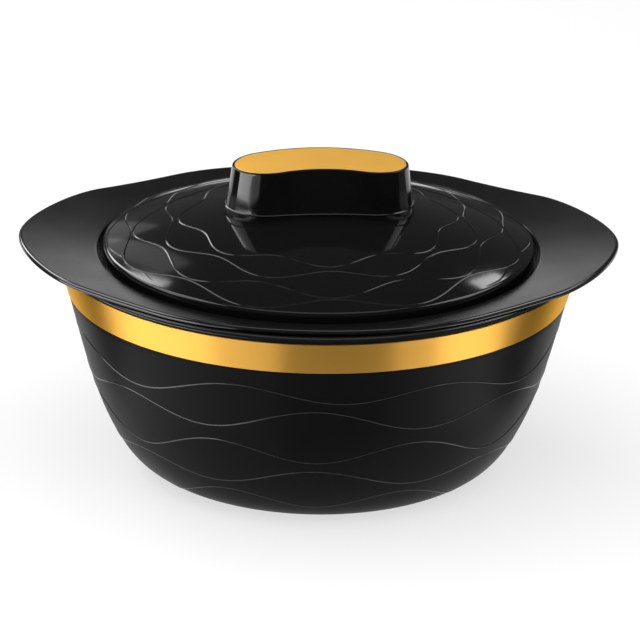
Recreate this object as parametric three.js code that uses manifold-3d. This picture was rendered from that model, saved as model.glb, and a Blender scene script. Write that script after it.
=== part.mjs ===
import * as THREE from "three";
import { mergeVertices } from "three/addons/utils/BufferGeometryUtils.js";
import Module from "manifold-3d";

// An insulated serving casserole with a round lift-off lid, in millimetres with +Z up.
// The origin is the centre of the base, and the two wing handles point along X.

// Clearances between neighbouring pieces, and the overrun that all cuts share
const seatGap = 0.3;
const fitGap = 0.3;
const cutOverrun = 2;

// Steps of the turned and drawn curves
const turnSteps = 48;
const smallTurnSteps = 16;
const flankSteps = 8;
const roundSteps = 3;
const outlineSteps = 7;

// Inner bowl: the steel bowl whose lip lies on the collar's ledge, and on whose mouth all else is built
const bowlMouthRadius = 103;
const bowlFloorRadius = 66;
const bowlWall = 0.8;
const bowlLipWidth = 4.2;
const bowlLeanDegrees = 7;
// Shares of the bowl's flare and depth that the handles of its side's curve take
const bowlFloorPullShare = 0.7;
const bowlSidePullShare = 0.585;
const foamUnderBowl = 8;

// Lid shell: a shallow dome with a rounded edge and an upright side that drops into the recess
const lipClearance = 1;
const lidWall = 2.4;
const lidClearance = 2.9;
const lidSideAboveBrim = 2.1;
const lidEdgeRound = 2.3;
const domeLeanDegrees = 19.6;
const lidTurnDegrees = 4.6;

// Collar: the brim with its two wings, the recess for the lid and the skirt inside the neck
const recessDepth = 5.6;
const recessWall = 2.4;
const recessDraft = 0.4;
const ledgeThickness = 2.5;
const brimRiseDegrees = 8.5;
const brimThickness = 2.7;
const brimHollow = 11.6;
const skirtDepth = 11.4;
const skirtWall = 2.2;
const brimFrontSetback = 5.1;
const wingReach = 20.4;

// Shares of the brim's half length and half depth where its straight flanks start and end
const wingStartShares = [0.516, 0.825];
const wingEndShares = [0.761, 0.602];
// Shares of the half length that the handles of the brim's curves take
const frontPullShare = 0.232;
const wingPullShare = 0.142;
const tipPullShare = 0.168;

// Neck: the short rim of the body above the band, which carries the collar
const neckWall = 3.8;
const neckRound = 1.8;
const neckRise = 3.2;

// Gold band: a conical ring let into the body, its top a little inside the neck and proud of the flank
const bandInset = 0.2;
const bandFlare = 4.4;
const bandHeight = 16.8;
const bandThickness = 1.2;
const bandProud = 0.25;

// Body: a tapering bowl, its flank one smooth curve from the base to the gold band
const flankHeight = 94.3;
const baseRadius = 80.4;
const flankLeanDegrees = 15.3;
// Shares of the flank's flare and height that the handles of its curve take
const basePullShare = 0.615;
const flankPullShare = 0.311;
const bodyWall = 3;
const footWidth = 18.4;
const baseRecessDepth = 2;

// Filling hole and plug in the base, and in the lid's liner
const plugStemRadius = 7.7;
const plugCapOverlap = 3.3;
const plugCapThickness = 1.2;
const plugReach = 3;

// Lid liner: the plate that closes the lid, with a raised flange and a shallow drop into the bowl
const linerThickness = 1.2;
const linerAboveSide = 2.2;
const linerClearance = 3.4;
const linerDrop = 5.8;
const linerCrown = 4;

// Knob: a kidney-shaped grip, longer at the foot, with a gold plate in its arched top
const knobRise = 24.5;
const knobArch = 1.8;
const knobTopHalfSpine = 26.7;
const knobTopSag = 4.6;
const knobTopHalfWidth = 18.6;
const knobFootSpread = 1.6;
const knobFootSag = 1.7;
const knobFootHalfWidth = 21.1;
const knobWall = 2.8;
const knobFloor = 5.5;
const knobLip = 1.1;
const capThickness = 1.8;

// Screws and washers that hold the knob from inside the lid
const screwInset = 2.7;
const shankRadius = 1.8;
const shankReach = 12;
const screwPoint = 1.5;
const headOverlap = 2.2;
const headThickness = 2.4;
const washerOverlap = 1;
const washerThickness = 0.8;
const padOverlap = 1.4;
const padThickness = 1.6;
const bossWall = 2.5;
const bossHeight = 8;

// Radii that follow from the bowl's mouth outwards
const lipRadius = bowlMouthRadius + bowlWall + bowlLipWidth;
const lidInside = lipRadius + lipClearance;
const lidRadius = lidInside + lidWall;
const recessRadius = lidRadius + lidClearance;
const recessWallRadius = recessRadius + recessWall;
const skirtInside = recessWallRadius + brimHollow;
const skirtRadius = skirtInside + skirtWall;
const neckInside = skirtRadius + fitGap;
const neckRadius = neckInside + neckWall;
const bandTopRadius = neckRadius - bandInset;
const bandBottomRadius = bandTopRadius - bandFlare;
const brimHalfLength = neckRadius + wingReach;
const brimHalfDepth = neckRadius - brimFrontSetback;
const baseRecessRadius = baseRadius - footWidth;
const linerDropRadius = bowlMouthRadius - linerClearance;
const plugHoleRadius = plugStemRadius + fitGap;
const plugCapRadius = plugStemRadius + plugCapOverlap;
const knobFootHalfSpine = knobTopHalfSpine + knobFootSpread;
const knobHalfLength = knobTopHalfSpine + knobTopHalfWidth;
const screwOffset = knobTopHalfSpine - screwInset;
const screwHoleRadius = shankRadius + fitGap;
const headRadius = shankRadius + headOverlap;
const washerRadius = headRadius + washerOverlap;
const padRadius = washerRadius + padOverlap;
const bossRadius = screwHoleRadius + bossWall;

// Heights that follow from the base upwards
const recessFloorTop = baseRecessDepth + bodyWall;
const bandTopHeight = flankHeight + bandHeight;
const neckBottom = bandTopHeight + seatGap;
const skirtBottom = neckBottom - skirtDepth;
const brimHeight = bandTopHeight + neckRise;
const ledgeHeight = brimHeight - recessDepth;
const ledgeBottom = ledgeHeight - ledgeThickness;
const lipBottom = ledgeHeight + seatGap;
const lidSideBottom = ledgeHeight + seatGap;
const lidSideTop = brimHeight + lidSideAboveBrim;
const bowlFloorBottom = recessFloorTop + seatGap + foamUnderBowl + seatGap;
const linerBottom = lidSideBottom + linerAboveSide;
const linerTop = linerBottom + linerThickness;
const dropBottom = linerBottom - linerDrop;

const wasm = await Module();
wasm.setup();

const radians = THREE.MathUtils.degToRad;
const mix = THREE.MathUtils.lerp;
const point = (x, y) => new THREE.Vector2(x, y);

// Merged corners, no slivers and faces that point out
function tidyGeometry(geometry) {
  const bare = geometry.clone();
  bare.deleteAttribute("normal");
  bare.deleteAttribute("uv");
  const merged = mergeVertices(bare);
  const corners = merged.index.array;
  const places = merged.attributes.position;
  const a = new THREE.Vector3();
  const b = new THREE.Vector3();
  const c = new THREE.Vector3();
  const kept = [];
  let volume = 0;
  for (let i = 0; i < corners.length; i += 3) {
    const [p, q, r] = [corners[i], corners[i + 1], corners[i + 2]];
    if (p === q || q === r || r === p) continue;
    kept.push(p, q, r);
    a.fromBufferAttribute(places, p);
    b.fromBufferAttribute(places, q);
    c.fromBufferAttribute(places, r);
    volume += a.dot(b.cross(c));
  }
  if (volume < 0) kept.reverse();
  const tidy = new THREE.BufferGeometry();
  tidy.setAttribute("position", places);
  tidy.setIndex(kept);
  return tidy;
}

function toSolid(geometry) {
  const tidy = tidyGeometry(geometry);
  const vertProperties = Float32Array.from(tidy.attributes.position.array);
  const triVerts = Uint32Array.from(tidy.index.array);
  return new wasm.Manifold(new wasm.Mesh({ numProp: 3, vertProperties, triVerts }));
}

function toGeometry(solid) {
  const mesh = solid.getMesh();
  const geometry = new THREE.BufferGeometry();
  geometry.setAttribute("position", new THREE.BufferAttribute(Float32Array.from(mesh.vertProperties), 3));
  geometry.setIndex(Array.from(mesh.triVerts));
  return geometry;
}

// A profile of radius and height, turned about the Z axis
function turned(profile, steps = turnSteps) {
  const geometry = new THREE.LatheGeometry(profile, steps);
  geometry.rotateX(Math.PI / 2);
  return tidyGeometry(geometry);
}

// A closed ring's profile ends where it starts
function turnedRing(profile, steps = turnSteps) {
  return turned([...profile, profile[0]], steps);
}

// An upright cylinder between two heights
function post(radius, bottom, top, x = 0) {
  const geometry = new THREE.CylinderGeometry(radius, radius, top - bottom, smallTurnSteps);
  geometry.rotateX(Math.PI / 2);
  geometry.translate(x, 0, (bottom + top) / 2);
  return geometry;
}

// Points of an arc about a centre, from one angle to another
function roundPoints(centre, radius, fromDegrees, toDegrees) {
  const points = [];
  for (let i = 0; i <= roundSteps; i += 1) {
    const angle = radians(mix(fromDegrees, toDegrees, i / roundSteps));
    points.push(point(centre.x + radius * Math.cos(angle), centre.y + radius * Math.sin(angle)));
  }
  return points;
}

// Points of a curve moved sideways: a positive distance lies to the left of its direction
function offsetPoints(curve, distance, steps) {
  const points = [];
  for (let i = 0; i <= steps; i += 1) {
    const place = curve.getPoint(i / steps);
    const along = curve.getTangent(i / steps);
    points.push(point(place.x - along.y * distance, place.y + along.x * distance));
  }
  return points;
}

// A solid through rings of equal count, its first and last ring closed about a middle point
function lofted(rings) {
  const count = rings[0].length;
  const places = [];
  const corners = [];
  for (const ring of rings) {
    for (const place of ring) places.push(place.x, place.y, place.z);
  }
  for (let i = 0; i + 1 < rings.length; i += 1) {
    for (let j = 0; j < count; j += 1) {
      const next = (j + 1) % count;
      const [a, b] = [i * count + j, i * count + next];
      corners.push(a, b, b + count, a, b + count, a + count);
    }
  }
  for (const index of [0, rings.length - 1]) {
    const ring = rings[index];
    const middle = new THREE.Vector3();
    for (const place of ring) middle.addScaledVector(place, 1 / count);
    middle.z = Math.max(...ring.map((place) => place.z));
    places.push(middle.x, middle.y, middle.z);
    const centre = places.length / 3 - 1;
    for (let j = 0; j < count; j += 1) {
      const [a, b] = [index * count + j, index * count + ((j + 1) % count)];
      if (index === 0) corners.push(centre, b, a);
      else corners.push(centre, a, b);
    }
  }
  const geometry = new THREE.BufferGeometry();
  geometry.setAttribute("position", new THREE.Float32BufferAttribute(places, 3));
  geometry.setIndex(corners);
  return tidyGeometry(geometry);
}

function material(color, roughness, metalness) {
  return new THREE.MeshStandardMaterial({ color, roughness, metalness });
}

function named(name, geometry, look) {
  const mesh = new THREE.Mesh(geometry, look);
  mesh.name = name;
  return mesh;
}

// Height of the brim's top at a radius, and of the neck's top below it
function brimTop(radius) {
  return brimHeight + (radius - recessRadius) * Math.tan(radians(brimRiseDegrees));
}

function neckTop(radius) {
  return brimTop(radius) - brimThickness - seatGap;
}

// The flank from the base's edge up to the band, which stands a little proud of it
const flankTop = point(bandBottomRadius - bandProud, flankHeight - seatGap);
const flankLean = radians(flankLeanDegrees);
const flankPull = flankPullShare * flankHeight;
const flank = new THREE.CubicBezierCurve(
  point(baseRadius, 0),
  point(mix(baseRadius, bandBottomRadius, basePullShare), 0),
  point(flankTop.x - flankPull * Math.sin(flankLean), flankTop.y - flankPull * Math.cos(flankLean)),
  flankTop,
);

// Inside radius of the body behind the band, between the flank's top and the neck
const flankInside = offsetPoints(flank, bodyWall, flankSteps);
const insideFoot = flankInside[flankSteps];
function insideBehindBand(height) {
  return mix(insideFoot.x, neckInside, (height - insideFoot.y) / (neckBottom - insideFoot.y));
}

function outerBody() {
  const behindBand = bandThickness + seatGap;
  const neckEdge = point(neckRadius - neckRound, neckTop(neckRadius - neckRound) - neckRound);
  const profile = [
    point(plugHoleRadius, baseRecessDepth),
    point(baseRecessRadius - baseRecessDepth, baseRecessDepth),
    point(baseRecessRadius, 0),
    ...flank.getPoints(flankSteps),
    point(bandBottomRadius - behindBand, flankTop.y),
    point(bandTopRadius - behindBand, neckBottom),
    point(neckRadius, neckBottom),
    ...roundPoints(neckEdge, neckRound, 0, 90 + brimRiseDegrees),
    point(neckInside, neckTop(neckInside)),
    point(neckInside, neckBottom),
    ...flankInside.toReversed(),
    point(baseRecessRadius + baseRecessDepth, bodyWall),
    point(baseRecessRadius, recessFloorTop),
    point(plugHoleRadius, recessFloorTop),
  ];
  return turnedRing(profile);
}

function goldBand() {
  const profile = [
    point(bandBottomRadius, flankHeight),
    point(bandTopRadius, bandTopHeight),
    point(bandTopRadius - bandThickness, bandTopHeight),
    point(bandBottomRadius - bandThickness, flankHeight),
  ];
  return turnedRing(profile);
}

// One quarter of the brim's outline, from the middle of the front to the wing's tip
function brimQuarter() {
  const front = point(0, brimHalfDepth);
  const tip = point(brimHalfLength, 0);
  const start = point(wingStartShares[0] * brimHalfLength, wingStartShares[1] * brimHalfDepth);
  const end = point(wingEndShares[0] * brimHalfLength, wingEndShares[1] * brimHalfDepth);
  const along = end.clone().sub(start).normalize();
  const frontPull = frontPullShare * brimHalfLength;
  const wingPull = wingPullShare * brimHalfLength;
  const tipPull = tipPullShare * brimHalfLength;
  const frontCurve = new THREE.CubicBezierCurve(
    front,
    point(frontPull, brimHalfDepth),
    start.clone().addScaledVector(along, -wingPull),
    start,
  );
  const tipCurve = new THREE.CubicBezierCurve(
    end,
    end.clone().addScaledVector(along, wingPull),
    point(brimHalfLength, tipPull),
    tip,
  );
  return [...frontCurve.getPoints(outlineSteps), ...tipCurve.getPoints(outlineSteps)];
}

function brimOutline() {
  const quarter = brimQuarter();
  const back = quarter.slice(0, -1).reverse().map((place) => point(place.x, -place.y));
  const right = [...quarter, ...back];
  const left = right.slice(1, -1).reverse().map((place) => point(-place.x, place.y));
  return new THREE.Shape([...right, ...left]);
}

function brimCollar() {
  const rim = brimHalfLength + brimHalfDepth - recessRadius;
  const skirtFoot = insideBehindBand(skirtBottom) - fitGap;
  const ledgeRadius = bowlMouthRadius + bowlWall + fitGap;
  const profile = [
    point(recessRadius, brimHeight),
    point(rim, brimTop(rim)),
    point(rim, brimTop(rim) - brimThickness),
    point(skirtRadius, brimTop(skirtRadius) - brimThickness),
    point(skirtRadius, neckBottom),
    point(skirtFoot, skirtBottom),
    point(skirtFoot - skirtWall, skirtBottom),
    point(skirtInside, neckBottom),
    point(skirtInside, brimTop(skirtInside) - brimThickness),
    point(recessWallRadius, brimTop(recessWallRadius) - brimThickness),
    point(recessWallRadius - recessDraft, ledgeBottom),
    point(ledgeRadius, ledgeBottom),
    point(ledgeRadius, ledgeHeight),
    point(recessRadius - recessDraft, ledgeHeight),
  ];
  const bottom = skirtBottom - cutOverrun;
  const depth = brimTop(rim) + cutOverrun - bottom;
  const outline = new THREE.ExtrudeGeometry(brimOutline(), { depth, bevelEnabled: false });
  outline.translate(0, 0, bottom);
  return toGeometry(toSolid(turnedRing(profile)).intersect(toSolid(outline)));
}

// The bowl's inside from the floor's edge to the mouth
const bowlFloorTop = bowlFloorBottom + bowlWall;
const bowlLean = radians(bowlLeanDegrees);
const bowlPull = bowlSidePullShare * (lipBottom - bowlFloorTop);
const bowlSide = new THREE.CubicBezierCurve(
  point(bowlFloorRadius, bowlFloorTop),
  point(mix(bowlFloorRadius, bowlMouthRadius, bowlFloorPullShare), bowlFloorTop),
  point(bowlMouthRadius - bowlPull * Math.sin(bowlLean), lipBottom - bowlPull * Math.cos(bowlLean)),
  point(bowlMouthRadius, lipBottom),
);

function innerBowl() {
  const lipTop = lipBottom + bowlWall;
  const profile = [
    point(0, bowlFloorTop),
    ...bowlSide.getPoints(flankSteps),
    point(bowlMouthRadius + bowlWall, lipTop),
    point(lipRadius, lipTop),
    point(lipRadius, lipBottom),
    point(bowlMouthRadius + bowlWall, lipBottom),
    ...offsetPoints(bowlSide, -bowlWall, flankSteps).reverse(),
    point(0, bowlFloorBottom),
  ];
  return turned(profile);
}

function bodyInsulation() {
  const top = ledgeBottom - seatGap;
  const shoulder = skirtBottom - seatGap;
  const besideSkirt = insideBehindBand(skirtBottom) - fitGap - skirtWall - fitGap;
  const besideBowl = offsetPoints(bowlSide, -bowlWall - fitGap, flankSteps).filter((place) => place.y < top);
  const besideBody = offsetPoints(flank, bodyWall + fitGap, flankSteps);
  const profile = [
    point(0, recessFloorTop + plugReach + seatGap),
    point(plugHoleRadius, recessFloorTop + plugReach + seatGap),
    point(plugHoleRadius, recessFloorTop + seatGap),
    point(baseRecessRadius, recessFloorTop + seatGap),
    point(baseRecessRadius + baseRecessDepth, bodyWall + seatGap),
    ...besideBody,
    point(insideBehindBand(shoulder) - fitGap, shoulder),
    point(besideSkirt, shoulder),
    point(besideSkirt, top),
    point(bowlMouthRadius + bowlWall + fitGap, top),
    ...besideBowl.reverse(),
    point(0, bowlFloorBottom - seatGap),
  ];
  return turned(profile);
}

// A plug with its cap at the bottom, in a floor that lies between two heights
function plug(floorBottom, floorTop) {
  const capTop = floorBottom - seatGap;
  const stemTop = floorTop + plugReach;
  const profile = [
    point(0, capTop - plugCapThickness),
    point(plugCapRadius, capTop - plugCapThickness),
    point(plugCapRadius, capTop),
    point(plugStemRadius, capTop),
    point(plugStemRadius, stemTop),
    point(0, stemTop),
  ];
  return turned(profile, smallTurnSteps);
}

// The lid's edge is an arc, and its dome the sphere that carries the arc on smoothly
const lidEdgeCentre = point(lidRadius - lidEdgeRound, lidSideTop);
const lidEdge = roundPoints(lidEdgeCentre, lidEdgeRound, 90 - domeLeanDegrees, 0);
const domeEdgeRadius = lidEdge[0].x;
const domeLean = radians(domeLeanDegrees);
const domeSphereRadius = domeEdgeRadius / Math.sin(domeLean);
const domeSphereHeight = lidEdge[0].y - domeSphereRadius * Math.cos(domeLean);

function domeHeight(radius, inset = 0) {
  return domeSphereHeight + Math.sqrt((domeSphereRadius - inset) ** 2 - radius ** 2);
}

function domePoints(edge, inset) {
  const points = [];
  for (let i = 0; i <= outlineSteps; i += 1) {
    const radius = edge * (i / outlineSteps);
    points.push(point(radius, domeHeight(radius, inset)));
  }
  return points;
}

const padBottom = domeHeight(screwOffset + padRadius, lidWall) - padThickness;
const washerTop = padBottom - seatGap;
const headTop = washerTop - washerThickness - seatGap;
const headBottom = headTop - headThickness;

function lidShell() {
  const profile = [
    ...domePoints(domeEdgeRadius, 0),
    ...lidEdge.slice(1),
    point(lidRadius, lidSideBottom),
    point(lidInside, lidSideBottom),
    point(lidInside, lidSideTop - lidEdgeRound),
    ...domePoints(lidInside - lidEdgeRound, lidWall).reverse(),
  ];
  let shell = toSolid(turned(profile));
  for (const side of [-1, 1]) {
    const x = side * screwOffset;
    const padTop = domeHeight(screwOffset + padRadius, lidWall / 2);
    const hole = post(screwHoleRadius, padBottom - cutOverrun, padTop + cutOverrun, x);
    shell = shell.add(toSolid(post(padRadius, padBottom, padTop, x)));
    shell = shell.subtract(toSolid(hole));
  }
  return toGeometry(shell);
}

// Height of the liner's shallow crown, from its outer side and from its inner side
function linerHeight(radius, above) {
  return dropBottom + above + linerCrown * (1 - (radius / linerDropRadius) ** 2);
}

function linerPoints(edge, above) {
  const points = [];
  for (let i = 0; i <= roundSteps; i += 1) {
    const radius = edge * (i / roundSteps);
    points.push(point(radius, linerHeight(radius, above)));
  }
  return points;
}

function lidLiner() {
  const flangeRadius = lidInside - fitGap;
  const profile = [
    ...linerPoints(linerDropRadius, 0),
    point(linerDropRadius, linerBottom),
    point(flangeRadius, linerBottom),
    point(flangeRadius, linerTop),
    point(linerDropRadius - linerThickness, linerTop),
    ...linerPoints(linerDropRadius - linerThickness, linerThickness).reverse(),
  ];
  const hole = post(plugHoleRadius, dropBottom - cutOverrun, linerTop + cutOverrun);
  return toGeometry(toSolid(turned(profile)).subtract(toSolid(hole)));
}

function lidInsulation() {
  const inside = linerDropRadius - linerThickness - fitGap;
  const outside = lidInside - fitGap;
  const above = linerThickness + seatGap;
  const profile = [
    ...linerPoints(inside, above),
    point(inside, linerTop + seatGap),
    point(outside, linerTop + seatGap),
    point(outside, lidSideTop - lidEdgeRound),
    ...domePoints(lidInside - lidEdgeRound, lidWall + seatGap).reverse(),
  ];
  let foam = toSolid(turned(profile));
  for (const side of [-1, 1]) {
    const x = side * screwOffset;
    const pocket = post(padRadius + fitGap, headBottom - seatGap, domeHeight(0) + cutOverrun, x);
    foam = foam.subtract(toSolid(pocket));
  }
  const plugTop = linerHeight(0, linerThickness) + plugReach + seatGap;
  const plugHole = post(plugHoleRadius, dropBottom, plugTop);
  return toGeometry(foam.subtract(toSolid(plugHole)));
}

// Outline of a kidney: a band of even half width about an arc, with round ends
function kidneyOutline(halfSpine, sag, halfWidth) {
  const spineRadius = (halfSpine ** 2 + sag ** 2) / (2 * sag);
  const spineAngle = Math.asin(halfSpine / spineRadius);
  const points = [];
  for (let i = 0; i < outlineSteps; i += 1) {
    const angle = mix(-spineAngle, spineAngle, i / outlineSteps);
    const reach = spineRadius + halfWidth;
    points.push(point(reach * Math.sin(angle), reach * Math.cos(angle) - spineRadius));
  }
  const addEnd = (side) => {
    for (let i = 0; i < outlineSteps; i += 1) {
      const angle = side * spineAngle + (i / outlineSteps) * Math.PI + (side < 0 ? Math.PI : 0);
      const x = side * halfSpine + halfWidth * Math.sin(angle);
      points.push(point(x, -sag + halfWidth * Math.cos(angle)));
    }
  };
  addEnd(1);
  for (let i = 0; i < outlineSteps; i += 1) {
    const angle = mix(spineAngle, -spineAngle, i / outlineSteps);
    const reach = spineRadius - halfWidth;
    points.push(point(reach * Math.sin(angle), reach * Math.cos(angle) - spineRadius));
  }
  addEnd(-1);
  return points;
}

// A ring of the knob at a share of its height, drawn in from its outside, at heights along X
function knobRing(share, inset, heightAt) {
  const halfSpine = mix(knobFootHalfSpine, knobTopHalfSpine, share);
  const sag = mix(knobFootSag, knobTopSag, share);
  const halfWidth = mix(knobFootHalfWidth, knobTopHalfWidth, share) - inset;
  const outline = kidneyOutline(halfSpine, sag, halfWidth);
  return outline.map((place) => new THREE.Vector3(place.x, place.y, heightAt(place.x)));
}

const knobTopHeight = domeHeight(0) + knobRise;
const knobFootHeight = domeHeight(knobFootHalfSpine + knobFootHalfWidth) - cutOverrun;
const knobTopAt = (x) => knobTopHeight - knobArch * (x / knobHalfLength) ** 2;
const capBottomAt = (x) => knobTopAt(x) - capThickness;

function knobBody() {
  const ledgeAt = (x) => capBottomAt(x) - seatGap;
  const pocketFloor = domeHeight(0) + knobFloor;
  const pocketShare = (pocketFloor - knobFootHeight) / (knobTopHeight - knobFootHeight);
  const grip = lofted([
    knobRing(0, 0, () => knobFootHeight),
    knobRing(1, 0, knobTopAt),
    knobRing(1, knobLip, knobTopAt),
    knobRing(1, knobLip, ledgeAt),
    knobRing(1, knobWall, ledgeAt),
    knobRing(pocketShare, knobWall, () => pocketFloor),
  ]);
  const lidSpace = turned([...domePoints(domeEdgeRadius, -seatGap), point(0, domeSphereHeight)]);
  let knob = toSolid(grip);
  for (const side of [-1, 1]) {
    const boss = post(bossRadius, pocketFloor - cutOverrun, pocketFloor + bossHeight, side * screwOffset);
    knob = knob.add(toSolid(boss));
  }
  knob = knob.subtract(toSolid(lidSpace));
  for (const side of [-1, 1]) {
    const holeTop = headTop + shankReach + screwPoint + seatGap;
    const pilot = post(screwHoleRadius, knobFootHeight, holeTop, side * screwOffset);
    knob = knob.subtract(toSolid(pilot));
  }
  return toGeometry(knob);
}

function knobCap() {
  const inset = knobLip + fitGap;
  return lofted([knobRing(1, inset, capBottomAt), knobRing(1, inset, knobTopAt)]);
}

function knobScrew() {
  const profile = [
    point(0, headBottom),
    point(headRadius, headBottom),
    point(headRadius, headTop),
    point(shankRadius, headTop),
    point(shankRadius, headTop + shankReach),
    point(0, headTop + shankReach + screwPoint),
  ];
  return turned(profile, smallTurnSteps);
}

function knobWasher() {
  const profile = [
    point(screwHoleRadius, washerTop - washerThickness),
    point(washerRadius, washerTop - washerThickness),
    point(washerRadius, washerTop),
    point(screwHoleRadius, washerTop),
  ];
  return turnedRing(profile, smallTurnSteps);
}

const satinBlack = () => material(0x17181a, 0.5, 0);
const glossBlack = () => material(0x101113, 0.12, 0);
const satinGold = () => material(0xd9a441, 0.3, 1);
const brushedSteel = () => material(0xb9bcc0, 0.3, 1);
const zincSteel = () => material(0xa3a8ad, 0.4, 1);
const foamYellow = () => material(0xe8dcae, 0.95, 0);

const body = new THREE.Group();
body.add(named("outer_body", outerBody(), satinBlack()));
body.add(named("gold_band", goldBand(), satinGold()));
body.add(named("brim_collar", brimCollar(), satinBlack()));
body.add(named("inner_bowl", innerBowl(), brushedSteel()));
body.add(named("body_insulation", bodyInsulation(), foamYellow()));
body.add(named("base_plug", plug(baseRecessDepth, recessFloorTop), satinBlack()));

// The lid lies in the recess turned a little about its own axis
const lid = new THREE.Group();
lid.rotation.z = radians(lidTurnDegrees);
lid.add(named("lid_shell", lidShell(), glossBlack()));
lid.add(named("lid_liner", lidLiner(), brushedSteel()));
lid.add(named("lid_insulation", lidInsulation(), foamYellow()));
lid.add(named("lid_plug", plug(linerHeight(plugCapRadius, 0), linerHeight(0, linerThickness)), satinBlack()));
lid.add(named("knob_body", knobBody(), glossBlack()));
lid.add(named("knob_cap", knobCap(), satinGold()));
for (const [side, word] of [[-1, "left"], [1, "right"]]) {
  const screw = named(`knob_screw_${word}`, knobScrew(), zincSteel());
  screw.position.x = side * screwOffset;
  lid.add(screw);
  const washer = named(`knob_washer_${word}`, knobWasher(), zincSteel());
  washer.position.x = side * screwOffset;
  lid.add(washer);
}

const casserole = new THREE.Group();
casserole.add(body, lid);

export default casserole;
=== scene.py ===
import math

import bmesh
import bpy
import numpy as np
from mathutils import Matrix, Vector


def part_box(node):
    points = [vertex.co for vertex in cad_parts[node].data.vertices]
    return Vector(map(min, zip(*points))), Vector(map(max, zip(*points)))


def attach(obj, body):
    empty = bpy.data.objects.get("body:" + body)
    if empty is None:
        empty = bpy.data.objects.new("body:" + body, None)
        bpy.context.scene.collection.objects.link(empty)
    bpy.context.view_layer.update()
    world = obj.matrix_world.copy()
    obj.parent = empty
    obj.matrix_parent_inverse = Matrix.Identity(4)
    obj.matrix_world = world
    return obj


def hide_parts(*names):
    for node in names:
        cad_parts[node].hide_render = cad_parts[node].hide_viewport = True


# An insulated serving casserole with a round lift-off lid. Its lengths are in millimetres until a
# mesh is made, and those of the stage are in metres. +Z is up, and turns are measured from the
# front (-Y) towards +X.

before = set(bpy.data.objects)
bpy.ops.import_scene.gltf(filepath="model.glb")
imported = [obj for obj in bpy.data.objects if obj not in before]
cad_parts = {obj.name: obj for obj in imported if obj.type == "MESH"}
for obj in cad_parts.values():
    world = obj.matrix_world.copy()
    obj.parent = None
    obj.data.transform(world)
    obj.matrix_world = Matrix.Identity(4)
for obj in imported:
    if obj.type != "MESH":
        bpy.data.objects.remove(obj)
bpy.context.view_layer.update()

MM = 0.001
TURN_STEPS = 720
PLAIN_STEPS = 360
PLUG_STEPS = 96
SHARP_DEGREES = 40

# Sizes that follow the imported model
BASE_RECESS_RADIUS = 62.0
BASE_RECESS_DEPTH = 2.0
BODY_WALL = 3.0
PLUG_HOLE_RADIUS = 8.0
PLUG_CAP_WALL = 1.2
FLANK_START = (80.4, 0.0)
FLANK_START_PULL = (110.9, 0.0)
FLANK_END = (129.75, 94.0)
FLANK_LEAN_DEGREES = 15.3
FLANK_PULL = 29.33
BAND_BOTTOM = (130.0, 94.3)
BAND_TOP = (134.4, 111.1)
BAND_WALL = 1.2
BAND_SEAT = 1.5
NECK_RADIUS = 134.6
NECK_INSIDE = 130.8
NECK_BOTTOM = 111.4
NECK_ROUND = 1.8
RECESS_RADIUS = 114.3
RECESS_DRAFT = 0.4
RECESS_WALL_RADIUS = 116.7
BRIM_HEIGHT = 114.3
BRIM_LEAN_DEGREES = 8.5
BRIM_RISE = math.tan(math.radians(BRIM_LEAN_DEGREES))
BRIM_WALL = 2.7
BRIM_HALF_LENGTH = 155.0
BRIM_HALF_DEPTH = 129.5
LEDGE_TOP = 108.7
LEDGE_BOTTOM = 106.2
LEDGE_RADIUS = 104.1
SKIRT_RADIUS = 130.5
SKIRT_INSIDE = 128.3
SKIRT_BOTTOM = 100.0
SKIRT_FOOT = 127.75
WING_START = (80.0, 106.8)
WING_END = (118.0, 77.9)
FRONT_PULL = 36.0
WING_PULL = 22.0
TIP_PULL = 26.0
BOWL_MOUTH_RADIUS = 103.0
BOWL_FLOOR_RADIUS = 66.0
BOWL_FLOOR_PULL = (91.9, 14.4)
BOWL_WALL = 0.8
BOWL_LIP_RADIUS = 108.0
BOWL_FLOOR_BOTTOM = 13.6
BOWL_LIP_BOTTOM = 109.0
BOWL_LEAN_DEGREES = 7.0
BOWL_PULL = 55.3
LID_RADIUS = 111.4
LID_INSIDE = 109.0
LID_BOTTOM = 109.0
LID_WALL = 2.4
LID_SIDE_TOP = 116.4
LID_EDGE_ROUND = 2.3
LID_EDGE_SUPPORT = 1.0
DOME_LEAN = math.radians(19.6)
LID_TURN = math.radians(4.6)
LINER_BOTTOM = 111.2
LINER_WALL = 1.2
LINER_DROP_RADIUS = 99.6
LINER_DROP_BOTTOM = 105.4
LINER_CROWN = 4.0
LINER_FLANGE_RADIUS = 108.7
KNOB_RISE = 24.5
KNOB_ARCH = 1.8
KNOB_TOP = (26.7, 4.6, 18.6)
KNOB_FOOT = (28.3, 1.7, 21.1)
KNOB_HALF_LENGTH = 45.3
KNOB_FOOT_SINK = 2.0
KNOB_LIP = 1.1
KNOB_WALL = 2.8
KNOB_FLOOR = 5.5
CAP_WALL = 1.8
FIT_GAP = 0.3

# Fine roundings and bevels, which only the visual model has
SUPPORT_SHARE = 0.5  # how far past a rounding the row beside it lies, as a share of its radius
SUPPORT = 0.2  # the same as a length
BODY_EDGE_ROUND = 0.35
BODY_EDGE_BEVEL = 0.1
NECK_INSIDE_BEVEL = 0.3
BAND_ROUND = 0.45
BAND_BACK_ROUND = 0.2
RECESS_LIP_ROUND = 0.6
RECESS_SUPPORT = 0.4
BRIM_TOP_ROUND = 1.7
BRIM_LOW_ROUND = 0.5
LEDGE_BEVEL = 0.3
LID_FOOT_ROUND = 0.5
LID_FOOT_MIDDLE = 0.15  # where the middle of that rounding lies
LID_FOOT_BEVEL = 0.3
LINER_ROUND = 0.3
LINER_DROP_ROUND = 1.4
LINER_INSIDE_ROUND = 0.8
PLUG_CAP_ROUNDS = (0.5, 0.2, 0.1, 0.4)
KNOB_CREST_ROUND = 0.55
KNOB_LIP_BEVEL = 0.15
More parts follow.
